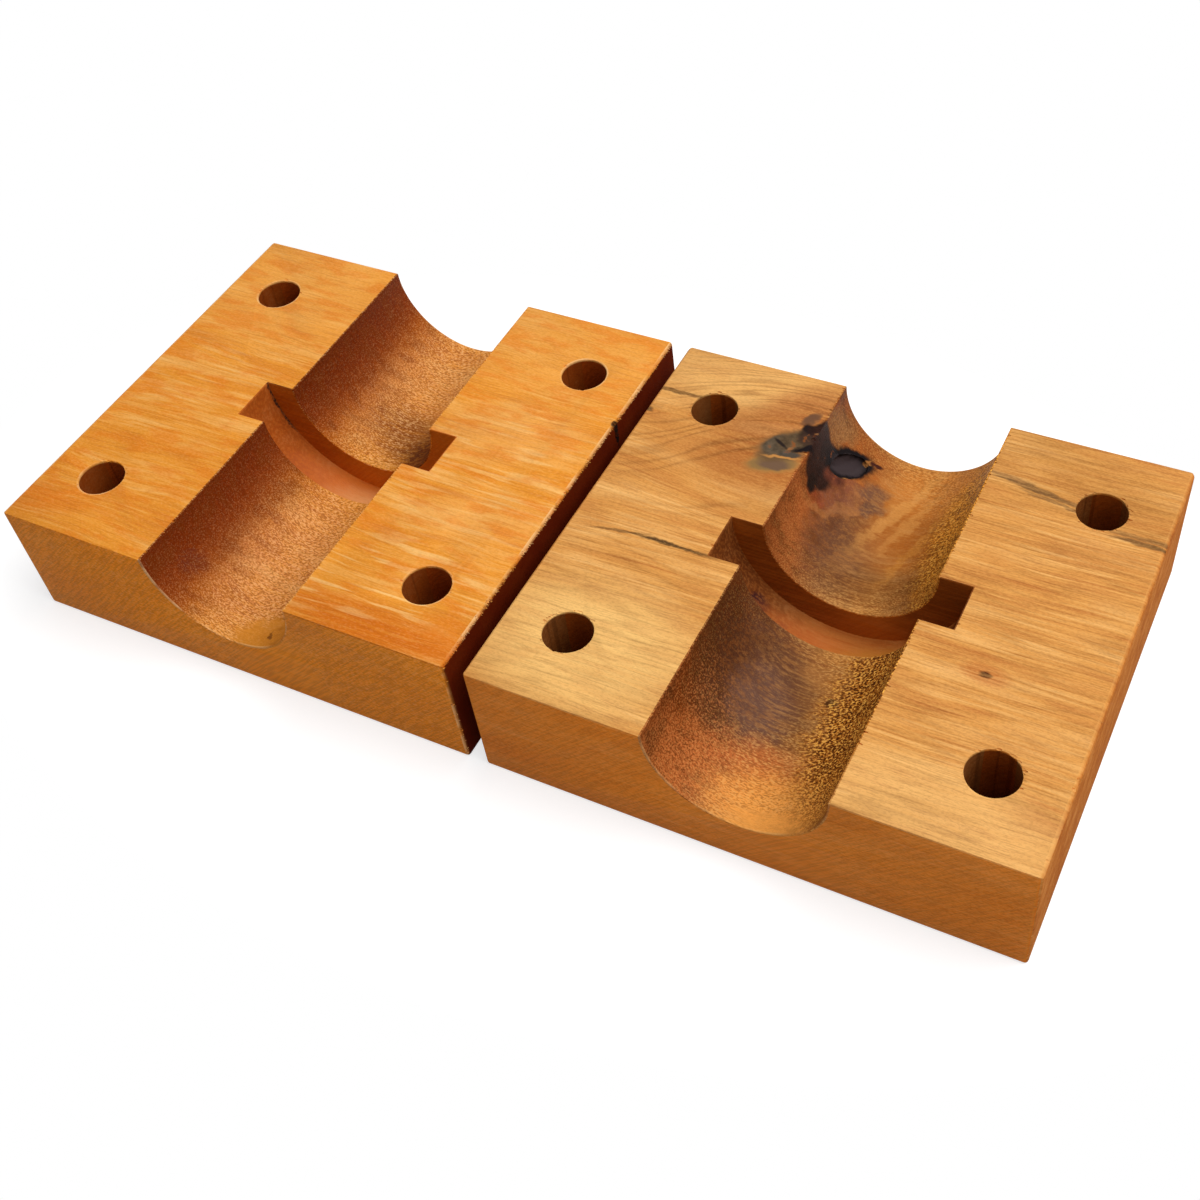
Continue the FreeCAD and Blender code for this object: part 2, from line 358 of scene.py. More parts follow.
def zoneTree():
    # where a point lies: rolled-out place (X round the bore from the inner lip, Y along it), kind of surface
    tree, given, out = newGroup(
        "surfaceZones", "ShaderNodeTree", {"Vector": ["Place", "Normal"]},
        {"Vector": ["Spread"],
         "Float": ["Bore", "End Grain", "Left End", "Right End", "Block End", "Groove", "Hole", "Rim",
                   "Face", "Land", "Edge", "Fray", "Groove Floor", "Groove Wall"]})
    boreRadius, boltAt = block["Bore Radius"], block["Bolt Radius"] + zoneReach["bolt"]
    part = addNode(tree, "SeparateXYZ", None, {0: given["Place"]}).outputs
    size = addNode(tree, "VectorMath", "ABSOLUTE", {0: given["Place"]})
    size = addNode(tree, "SeparateXYZ", None, {0: size}).outputs
    facing = addNode(tree, "VectorMath", "ABSOLUTE", {0: given["Normal"]})
    facing = addNode(tree, "SeparateXYZ", None, {0: facing}).outputs
    drop = addNode(tree, "Math", "SUBTRACT", {0: block["Height"], 1: part["Z"]})
    drop = addNode(tree, "Math", "MAXIMUM", {0: drop, 1: 0.0001})

    inward = addNode(tree, "Math", "MULTIPLY", {0: part["X"], 1: -1.0})
    angle = addNode(tree, "Math", "ARCTAN2", {0: drop, 1: inward})
    onBore = addNode(tree, "Clamp", None, {"Value": part["X"], "Min": -boreRadius, "Max": boreRadius})
    lands = addNode(tree, "Math", "SUBTRACT", {0: part["X"], 1: onBore})
    around = addNode(tree, "Math", "MULTIPLY_ADD", {0: angle, 1: boreRadius, 2: lands})
    spread = addNode(tree, "CombineXYZ", None, {0: around, 1: part["Y"]})

    cross = addNode(tree, "CombineXYZ", None, {0: part["X"], 2: drop})
    fromAxis = addNode(tree, "VectorMath", "LENGTH", {0: cross}).outputs["Value"]
    bore = addNode(tree, "Math", "LESS_THAN", {0: fromAxis, 1: boreRadius + zoneReach["bore"]})
    endGrain = addNode(tree, "MapRange", smooth, {"Value": facing["X"], "From Min": 0.1, "From Max": 1.0})
    endAt = block["Width"] / 2 + zoneReach["end"]
    leftEnd = addNode(tree, "Math", "LESS_THAN", {0: part["X"], 1: -endAt})
    rightEnd = addNode(tree, "Math", "GREATER_THAN", {0: part["X"], 1: endAt})
    blockEnd = addNode(tree, "Math", "ADD", {0: leftEnd, 1: rightEnd})
    fray = addNode(tree, "Math", clampedMinus, {0: blockEnd, 1: endGrain})

    inCollar = addNode(tree, "Math", "LESS_THAN",
                       {0: size["Y"], 1: block["Collar Width"] / 2 + zoneReach["groove"]})
    inReach = addNode(tree, "Math", "LESS_THAN",
                      {0: fromAxis, 1: block["Collar Radius"] + zoneReach["grooveFloor"]})
    groove = addNode(tree, "Math", "MULTIPLY", {0: inCollar, 1: inReach})
    groove = addNode(tree, "Math", "GREATER_THAN", {0: groove, 1: bore})
    turned = addNode(tree, "Math", "MAXIMUM", {0: bore, 1: groove})
    onTop = addNode(tree, "Math", "LESS_THAN", {0: drop, 1: zoneReach["land"]})
    land = addNode(tree, "Math", "GREATER_THAN", {0: onTop, 1: turned})
    onFace = addNode(tree, "Math", "GREATER_THAN",
                     {0: size["Y"], 1: block["Length"] / 2 + zoneReach["face"]})
    nearWall = addNode(tree, "Math", "COMPARE",
                       {0: fromAxis, 1: boreRadius + zoneReach["lip"], 2: zoneReach["rim"]})
    edge = addNode(tree, "Math", "MULTIPLY", {0: onFace, 1: nearWall})

    boltX = addNode(tree, "Math", "SUBTRACT", {0: size["X"], 1: block["Bolt Across"] / 2})
    boltY = addNode(tree, "Math", "SUBTRACT", {0: size["Y"], 1: block["Bolt Along"] / 2})
    fromBolt = addNode(tree, "CombineXYZ", None, {0: boltX, 1: boltY})
    fromBolt = addNode(tree, "VectorMath", "LENGTH", {0: fromBolt}).outputs["Value"]
    inBolt = addNode(tree, "Math", "LESS_THAN", {0: fromBolt, 1: boltAt})
    below = addNode(tree, "MapRange", None, {"Value": drop, "From Min": 0.25, "From Max": 0.7})
    hole = addNode(tree, "Math", "MULTIPLY", {0: inBolt, 1: below})
    rim = addNode(tree, "Math", "COMPARE", {0: fromBolt, 1: boltAt, 2: zoneReach["rim"]})
    rim = addNode(tree, "Math", clampedMinus, {0: rim, 1: hole})
    face = addNode(tree, "Math", "GREATER_THAN", {0: facing["Y"], 1: 0.8})
    wall = addNode(tree, "Math", "MULTIPLY", {0: groove, 1: face})
    ground = addNode(tree, "Math", "SUBTRACT", {0: groove, 1: wall})
    made = {"Spread": spread, "Bore": bore, "End Grain": endGrain, "Left End": leftEnd,
            "Right End": rightEnd, "Block End": blockEnd, "Fray": fray, "Groove": groove, "Land": land,
            "Edge": edge, "Hole": hole, "Rim": rim, "Face": face, "Groove Wall": wall,
            "Groove Floor": ground}
    for name, node in made.items():
        tree.links.new(node.outputs[0], out[name])
    return tree


# Size of each feature of the grain in millimetres: along the fibres, across, and noise detail.
grain = {
    "Band": ((34, 7, 7), 2.0),           # slow change of colour along the board
    "Streak": ((24, 0.8, 0.8), 1.5),     # bundles of fibres
    "Lens": ((22, 1.6, 1.6), 1.0),       # pale lens-shaped figure
    "Dash": ((13, 0.4, 0.4), 1.0),       # ray flecks, about twice as wide as real ones so that they show
    "Pore": ((0.9, 0.3, 0.3), 1.0),      # vessels, real ones 0.1 mm, as coarse as the render needs
    "Coarse": ((1.0, 0.45, 0.45), 1.0),  # torn, coarse end grain
    "Patch": ((11, 3.5, 5), 2.0),        # where the wood drank more oil
}
bends = (((85, 28, 28), 8.0), ((16, 6, 6), 1.3))       # length of a bend in the fibres, how far it bends
lines = {"uneven": (28, 5, 5), "patchy": (14, 6, 6)}   # where growth lines wander, and where they fade
sawMarks = {"angle": 45, "size": (7.0, 1.0, 0.55)}     # tooth marks on the long faces, 1.1 mm apart


def figureTree():
    # growth lines and flecks of a diffuse-porous hardwood, fibres along X, that part round a knot
    tree, given, out = newGroup(
        "hardwoodFigure", "ShaderNodeTree",
        {"Vector": ["Place", "Pith", "Knot", "Knot Lift"],
         "Float": ["Ring Width", "Knot Reach", "Knot Push", "Curl"]},
        {"Float": ["Line", "Near Knot", "Calm", "Saw", *grain]})
    toKnot = addNode(tree, "VectorMath", "SUBTRACT", {0: given["Place"], 1: given["Knot"]})
    toKnot = addNode(tree, "VectorMath", "MULTIPLY", {0: toKnot, 1: (0.75, 1, 1)})
    knotGap = addNode(tree, "VectorMath", "LENGTH", {0: toKnot}).outputs["Value"]
    nearKnot = addNode(tree, "MapRange", smooth,
                       {"Value": knotGap, "From Min": given["Knot Reach"], "From Max": 0.0})
    calm = addNode(tree, "Math", {"operation": "MULTIPLY_ADD", "use_clamp": True},
                   {0: nearKnot, 1: -1.5, 2: 1.0})
    push = addNode(tree, "Math", "MULTIPLY", {0: nearKnot, 1: given["Knot Push"]})
    push = addNode(tree, "VectorMath", "SCALE", {0: toKnot, "Scale": push})
    bent = addNode(tree, "VectorMath", "MULTIPLY_ADD", {0: push, 1: (0, -1, -1), 2: given["Place"]})
    for cell, amount in bends:
        slow = addNode(tree, "VectorMath", "DIVIDE", {0: given["Place"], 1: cell})
        bend = addNode(tree, "TexNoise", None, {"Vector": slow, "Scale": 1.0, "Detail": 2.0})
        bend = addNode(tree, "Math", "SUBTRACT", {0: bend, 1: 0.5})
        bend = addNode(tree, "Math", "MULTIPLY", {0: bend, 1: given["Curl"]})
        bend = addNode(tree, "VectorMath", "SCALE", {0: (0, amount, 0.7 * amount), "Scale": bend})
        bent = addNode(tree, "VectorMath", "ADD", {0: bend, 1: bent})
    # growth lines: rings round a pith that lies almost along the fibres
    lifted = addNode(tree, "VectorMath", "MULTIPLY_ADD", {0: given["Knot Lift"], 1: nearKnot, 2: bent})
    fromPith = addNode(tree, "VectorMath", "SUBTRACT", {0: lifted, 1: given["Pith"]})
    fromPith = addNode(tree, "VectorMath", "MULTIPLY", {0: fromPith, 1: (0.03, 1, 1)})
    ring = addNode(tree, "VectorMath", "LENGTH", {0: fromPith}).outputs["Value"]
    ring = addNode(tree, "Math", "DIVIDE", {0: ring, 1: given["Ring Width"]})
    uneven = addNode(tree, "VectorMath", "DIVIDE", {0: lifted, 1: lines["uneven"]})
    uneven = addNode(tree, "TexNoise", None, {"Vector": uneven, "Scale": 1.0, "Detail": 1.0})
    ring = addNode(tree, "Math", "MULTIPLY_ADD", {0: uneven, 1: 3.5, 2: ring})
    phase = addNode(tree, "Math", "MULTIPLY", {0: ring, 1: 2 * math.pi})
    phase = addNode(tree, "Math", "SINE", {0: phase})
    phase = addNode(tree, "Math", "MULTIPLY_ADD", {0: phase, 1: 0.5, 2: 0.5})
    line = addNode(tree, "Math", "POWER", {0: phase, 1: 3.0})
    patchy = addNode(tree, "VectorMath", "DIVIDE", {0: given["Place"], 1: lines["patchy"]})
    patchy = addNode(tree, "TexNoise", None, {"Vector": patchy, "Scale": 1.0, "Detail": 1.0})
    patchy = addNode(tree, "MapRange", smooth, {"Value": patchy, "From Min": 0.25, "From Max": 0.6})
    line = addNode(tree, "Math", "MULTIPLY", {0: line, 1: patchy})
    sawn = addNode(tree, "VectorRotate", {"rotation_type": "Y_AXIS"},
                   {"Vector": given["Place"], "Angle": math.radians(sawMarks["angle"])})
    sawn = addNode(tree, "VectorMath", "DIVIDE", {0: sawn, 1: sawMarks["size"]})
    sawn = addNode(tree, "TexNoise", None, {"Vector": sawn, "Scale": 1.0, "Detail": 1.0})
    made = {"Near Knot": nearKnot, "Calm": calm, "Line": line, "Saw": sawn}
    for name, (cell, detail) in grain.items():
        scaled = addNode(tree, "VectorMath", "DIVIDE", {0: bent, 1: cell})
        made[name] = addNode(tree, "TexNoise", None,
                             {"Vector": scaled, "Scale": 1.0, "Detail": detail, "Roughness": 0.6})
    for name, node in made.items():
        tree.links.new(node.outputs[0], out[name])
    return tree


# What both halves have in common: tones where pale and deep wood stand, and shares of what lies over them.
board = {"paleAt": 0.2, "bodyAt": 0.5, "deepAt": 0.8, "face": 0.65, "groove": 0.7, "glazed": 0.8}


def boardColour(tree, look, figure, zone):
    # planed wood: pale to deep by band and streak, calm round the knot
    tone = addNode(tree, "Math", "MULTIPLY_ADD",
                   {0: figure["Band"], 1: look["bandShare"], 2: 0.5 - look["bandShare"] / 2})
    streak = addNode(tree, "Math", "SUBTRACT", {0: figure["Streak"], 1: 0.5})
    streak = addNode(tree, "Math", "MULTIPLY", {0: streak, 1: figure["Calm"]})
    patchy = addNode(tree, "MapRange", None,
                     {"Value": figure["Lens"], "From Min": 0.35, "From Max": 0.65,
                      "To Min": 0.3, "To Max": 1.7})
    streak = addNode(tree, "Math", "MULTIPLY", {0: streak, 1: patchy})
    tone = addNode(tree, "Math", "MULTIPLY_ADD", {0: streak, 1: look["streakShare"], 2: tone})
    ramp = addNode(tree, "ValToRGB", None, {"Fac": tone})
    stops = ramp.color_ramp.elements
    stops[0].position, stops[0].color = board["paleAt"], hexToLinear(look["pale"])
    stops[1].position, stops[1].color = board["deepAt"], hexToLinear(look["deep"])
    stops.new(board["bodyAt"]).color = hexToLinear(look["body"])
    # long faces keep the saw's tooth marks
    sawn = addNode(tree, "MapRange", smooth,
                   {"Value": figure["Saw"], "From Min": 0.4, "From Max": 0.62, "To Max": look["sawShare"]})
    face = addNode(tree, "Mix", rgba, {0: board["face"], 6: ramp, 7: hexToLinear(look["face"])})
    face = addNode(tree, "Mix", rgba, {0: sawn, 6: face, 7: hexToLinear(look["line"])})
    colour = addNode(tree, "Mix", rgba, {0: zone["Face"], 6: ramp, 7: face})
    # oil has drawn deepest into the bore's end grain and the block's ends
    soaked = (("Bore", look["boreLeast"], "boreTint"), ("Left End", 0.0, "leftTint"),
              ("Right End", 0.0, "rightTint"))
    for name, least, tint in soaked:
        mask = addNode(tree, "MapRange", None, {"Value": zone["End Grain"], "To Min": least})
        mask = addNode(tree, "Math", "MULTIPLY", {0: zone[name], 1: mask})
        colour = addNode(tree, "Mix", tinted, {0: mask, 6: colour, 7: hexToLinear(look[tint])})
    # the collar groove was cut cleanly: plainer floor, darker walls
    cut = addNode(tree, "Mix", rgba, {0: zone["Face"], 6: hexToLinear(look["grooveFloor"]),
                                      7: hexToLinear(look["grooveWall"])})
    clean = addNode(tree, "Math", "MULTIPLY", {0: zone["Groove"], 1: board["groove"]})
    return addNode(tree, "Mix", rgba, {0: clean, 6: colour, 7: cut})


def figuredColour(tree, look, figure, zone, spreads, colour):
    # growth lines, stronger round the knot, short ray flecks, and pale lens figure in places
    plain = addNode(tree, "Math", "MULTIPLY_ADD", {0: zone["Land"], 1: 0.75, 2: 0.25})
    plain = addNode(tree, "Math", clampedMinus, {0: plain, 1: zone["Block End"]})
    share = addNode(tree, "Math", "MULTIPLY_ADD",
                    {0: figure["Near Knot"], 1: look["knotLines"], 2: look["lineShare"]})
    share = addNode(tree, "Math", "MULTIPLY", {0: figure["Line"], 1: share})
    share = addNode(tree, "Math", "MULTIPLY", {0: share, 1: zone["Land"]})
    colour = addNode(tree, "Mix", rgba, {0: share, 6: colour, 7: hexToLinear(look["line"])})
    dashed = addNode(tree, "Math", "MULTIPLY", {0: figure["Calm"], 1: look["dashShare"]})
    dashed = addNode(tree, "Math", "MULTIPLY", {0: dashed, 1: plain})
    marks = [("Dash", 0.5, 0.68, dashed, "line")]
    for *oval, amount in look["lensed"]:
        lensed = addNode(tree, "Math", "MULTIPLY",
                         {0: ovalMask(tree, oval, spreads, amount), 1: zone["Land"]})
        marks.append(("Lens", 0.52, 0.64, lensed, "lens"))
    for name, start, end, amount, code in marks:
        mark = addNode(tree, "MapRange", smooth,
                       {"Value": figure[name], "From Min": start, "From Max": end, "To Max": amount})
        colour = addNode(tree, "Mix", rgba, {0: mark, 6: colour, 7: hexToLinear(look[code])})
    return colour


def ovalMask(tree, oval, spreads, share=1.0):
    # soft-edged oval on the rolled-out surface; ovals of one turn share one turned copy of it
    name, centre, radii, turn, soft = oval
    if turn not in spreads:
        spreads[turn] = addNode(tree, "VectorRotate", {"rotation_type": "Z_AXIS"},
                                {"Vector": spreads[0], "Angle": math.radians(-turn)})
    x, y = Matrix.Rotation(math.radians(-turn), 2) @ Vector(centre)
    wide, long = radii
    placed = addNode(tree, "VectorMath", {"operation": "MULTIPLY_ADD", "label": name},
                     {0: spreads[turn], 1: (1 / wide, 1 / long, 0), 2: (-x / wide, -y / long, 0)})
    reach = addNode(tree, "VectorMath", "DOT_PRODUCT", {0: placed, 1: placed})
    return addNode(tree, "MapRange", smooth,
                   {"Value": reach, "From Min": (1 + soft) ** 2, "From Max": (1 - soft) ** 2,
                    "To Max": share})


def stainedAndLitColour(tree, look, figure, zone, spreads, colour):
    # stain marks, painted shade and painted highlights follow the fibres, so they are thinner where a streak
    # is pale
    streaky = addNode(tree, "MapRange", smooth,
                      {"Value": figure["Streak"], "From Min": 0.36, "From Max": 0.58,
                       "To Min": look["stainAndLightLeast"], "To Max": 1.0})
    for where, stainsAndLight in look["stainsAndLight"].items():
        stainedAndLit = colour
        for *oval, code, share in stainsAndLight:
            stainedAndLit = addNode(tree, "Mix", rgba,
                              {0: ovalMask(tree, oval, spreads, share), 6: stainedAndLit, 7: hexToLinear(code)})
        held = addNode(tree, "Math", "MULTIPLY", {0: streaky, 1: zone[where]})
        colour = addNode(tree, "Mix", rgba, {0: held, 6: colour, 7: stainedAndLit})
    return colour


def fleckedColour(tree, look, figure, zone, spreads, colour):
    # the wood drank oil unevenly, the bore's end grain most
    patch = addNode(tree, "MapRange", smooth,
                    {"Value": figure["Patch"], "From Min": 0.45, "From Max": 0.65})
    steep = addNode(tree, "MapRange", None, {"Value": zone["End Grain"], "To Min": 0.1 * look["boreUneven"],
                                             "To Max": look["boreUneven"]})
    for where, share, code in (("Land", look["landUneven"], "uneven"), ("Bore", steep, "fleckDark")):
        drunk = addNode(tree, "Math", "MULTIPLY", {0: patch, 1: share})
        drunk = addNode(tree, "Math", "MULTIPLY", {0: drunk, 1: zone[where]})
        colour = addNode(tree, "Mix", rgba, {0: drunk, 6: colour, 7: hexToLinear(look[code])})
    # dark vessels and pale flecks: fine over the bore, none where it is glazed, coarse in some patches
    fine = addNode(tree, "MapRange", None,
                   {"Value": zone["Face"], "To Min": look["landFleck"], "To Max": look["faceFleck"]})
    fine = addNode(tree, "Mix", None, {0: zone["Bore"], 2: fine, 3: look["boreFleck"]})
    glazed = [ovalMask(tree, oval, spreads) for oval in look["glazed"]]
    for still in [zone["Groove"], zone["Block End"]] + glazed:
        keep = addNode(tree, "Math", "MULTIPLY_ADD", {0: still, 1: -board["glazed"], 2: 1.0})
        fine = addNode(tree, "Math", "MULTIPLY", {0: fine, 1: keep})
    dull = addNode(tree, "Math", "MULTIPLY_ADD", {0: zone["End Grain"], 1: -look["wallDull"], 2: 1.0})
    dull = addNode(tree, "Math", "MULTIPLY", {0: fine, 1: dull})
    kinds = [("Pore", fine, dull, look["fleckPale"])]
    for *oval, amount, pale in look["coarse"]:
        torn = addNode(tree, "Math", "MULTIPLY",
                       {0: ovalMask(tree, oval, spreads, amount), 1: zone["Bore"]})
        kinds.append(("Coarse", torn, torn, pale))
    for name, strength, dulled, pale in kinds:
        for start, end, code, share in ((0.5, 0.6, look["fleckDark"], strength), (0.46, 0.37, pale, dulled)):
            fleck = addNode(tree, "MapRange", smooth,
                            {"Value": figure[name], "From Min": start, "From Max": end, "To Max": share})
            colour = addNode(tree, "Mix", rgba, {0: fleck, 6: colour, 7: hexToLinear(code)})
    return colour


# Inner bark: noise per millimetre, how ragged its outline is, rust in its cracks, and its roughness.
barkSkin = {"scale": 0.5, "ragged": (1.3, -1.0, 0), "crack": "#8a4a1c", "gloss": 0.35}


def barkedColour(tree, look, place, spread, colour, gloss):
    # inner bark left in the knot: ragged, mottled near black or grey, with a few rust-coloured cracks; the
    # hollow's black rim is partly painted shadow and its grey floor partly painted sheen
    if not look["bark"]:
        return colour, gloss
    crackle = addNode(tree, "TexNoise", None,
                      {"Vector": place, "Scale": barkSkin["scale"], "Detail": 2.5, "Roughness": 0.55})
    ragged = addNode(tree, "Math", "SUBTRACT", {0: crackle, 1: 0.5})
    ragged = addNode(tree, "VectorMath", "SCALE", {0: barkSkin["ragged"], "Scale": ragged})
    spreads = {0: addNode(tree, "VectorMath", "ADD", {0: ragged, 1: spread})}
    barked = 0.0
    for *oval, code, cracked in look["bark"]:
        mask = ovalMask(tree, oval, spreads)
        colour = addNode(tree, "Mix", rgba, {0: mask, 6: colour, 7: hexToLinear(code)})
        if cracked:
            barked = addNode(tree, "Math", "MAXIMUM", {0: barked, 1: mask})
    mottle = addNode(tree, "MapRange", None,
                     {"Value": crackle, "From Min": 0.3, "From Max": 0.7, "To Min": 0.6, "To Max": 1.4})
    mottled = addNode(tree, "VectorMath", "SCALE", {0: colour, "Scale": mottle})
    colour = addNode(tree, "Mix", rgba, {0: barked, 6: colour, 7: mottled})
    cracks = addNode(tree, "MapRange", smooth,
                     {"Value": crackle, "From Min": 0.63, "From Max": 0.72, "To Max": 0.6})
    cracks = addNode(tree, "Math", "MULTIPLY", {0: cracks, 1: barked})
    colour = addNode(tree, "Mix", rgba, {0: cracks, 6: colour, 7: hexToLinear(barkSkin["crack"])})
    gloss = addNode(tree, "Mix", None, {0: barked, 2: gloss, 3: barkSkin["gloss"]})
    return colour, gloss


# How far, in millimetres, the ovals of stain, painted shade and painted highlight wander and their edges are
# drawn out, and the surface that oil leaves.
ovalEdge = {"wander": (1.6, -1.4, 0), "boreWander": (2.5, 2.5, 0), "drawn": (2.5, 0.8, 0)}
oilSkin = {"satin": 0.55, "dry": 0.95, "landRelief": 0.3, "boreRelief": 0.6, "vessel": 0.2}
trees = {"zones": zoneTree(), "figure": figureTree()}


def oiledWood(look, centreX):
    # oil-soaked hardwood: satin planed lands, end grain dark and rough where it drank most oil
    material = bpy.data.materials.new(look["name"])
    material.use_nodes = True
    tree = material.node_tree
    tree.nodes.clear()
    place = addNode(tree, "TexCoord").outputs["Object"]
    place = addNode(tree, "VectorMath", "MULTIPLY_ADD",
                    {0: place, 1: (1 / mm, 1 / mm, 1 / mm), 2: (-centreX, 0, 0)})
    normal = addNode(tree, "NewGeometry").outputs["Normal"]
    zone = addNode(tree, "Group", {"node_tree": trees["zones"]}, {"Place": place, "Normal": normal}).outputs
    figure = addNode(tree, "Group", {"node_tree": trees["figure"]},
                     {"Place": place, **look["figure"]}).outputs
    # ovals of stain, painted shade and painted highlight wander a little and their edges are drawn out along
    # the fibres
    wander = addNode(tree, "TexNoise", None, {"Vector": place, "Scale": 0.3, "Detail": 2.0})
    wander = addNode(tree, "Math", "SUBTRACT", {0: wander, 1: 0.5})
    wander = addNode(tree, "VectorMath", "SCALE", {0: ovalEdge["wander"], "Scale": wander})
    wandered = addNode(tree, "VectorMath", "ADD", {0: wander, 1: zone["Spread"]})
    drawn = addNode(tree, "Math", "ADD", {0: figure["Streak"], 1: figure["Band"]})
    drawn = addNode(tree, "Math", "SUBTRACT", {0: drawn, 1: 1.0})
    drawn = addNode(tree, "VectorMath", "SCALE", {0: ovalEdge["drawn"], "Scale": drawn})
    roamed = addNode(tree, "VectorMath", "SCALE", {0: wander, "Scale": zone["Bore"]})
    roamed = addNode(tree, "VectorMath", "MULTIPLY_ADD",
                     {0: roamed, 1: ovalEdge["boreWander"], 2: wandered})
    spreads = {0: addNode(tree, "VectorMath", "ADD", {0: drawn, 1: roamed})}

    colour = boardColour(tree, look, figure, zone)
    colour = stainedAndLitColour(tree, look, figure, zone, spreads, colour)
    colour = figuredColour(tree, look, figure, zone, spreads, colour)
    colour = fleckedColour(tree, look, figure, zone, spreads, colour)
    colour = addNode(tree, "Mix", tinted, {0: zone["Hole"], 6: colour, 7: hexToLinear(look["holeTint"])})
    # worn edges of the holes and the bore, pale where the fibres are rubbed bare; on the bore's front arcs
    # the pale line is partly a painted highlight of the edge
    rubbedAndGlinting = addNode(tree, "MapRange", None, {"Value": figure["Band"], "From Min": 0.4, "From Max": 0.6})
    for name, share in (("Rim", look["rimShare"]), ("Edge", look["edgeWearAndGlintShare"]), ("Fray", look["frayShare"])):
        wornAndGlint = addNode(tree, "Math", "MULTIPLY", {0: zone[name], 1: share})
        wornAndGlint = addNode(tree, "Math", "MULTIPLY", {0: wornAndGlint, 1: rubbedAndGlinting})
        colour = addNode(tree, "Mix", rgba, {0: wornAndGlint, 6: colour, 7: hexToLinear(look["wornAndGlint"])})
    dull = addNode(tree, "Math", "MAXIMUM", {0: zone["Hole"], 1: zone["Block End"]})
    gloss = addNode(tree, "MapRange", None,
                    {"Value": dull, "To Min": oilSkin["satin"], "To Max": oilSkin["dry"]})
    colour, gloss = barkedColour(tree, look, place, wandered, colour, gloss)

    # relief of the vessels, deeper in the bore
    height = addNode(tree, "VectorMath", "DIVIDE", {0: place, 1: grain["Pore"][0]})
    height = addNode(tree, "TexNoise", None, {"Vector": height, "Scale": 1.0, "Detail": 1.0})
    depth = addNode(tree, "MapRange", None, {"Value": zone["Bore"], "To Min": oilSkin["landRelief"],
                                             "To Max": oilSkin["boreRelief"]})
    bump = addNode(tree, "Bump", None,
                   {"Strength": depth, "Distance": oilSkin["vessel"] * mm, "Height": height})
    shader = addNode(tree, "BsdfPrincipled", None,
                     {"Base Color": colour, "Roughness": gloss, "IOR": 1.45, "Specular IOR Level": 0.05,
                      "Normal": bump})
    addNode(tree, "OutputMaterial", None, {"Surface": shader})
    print(material.name, len(tree.nodes), "nodes")
    return material
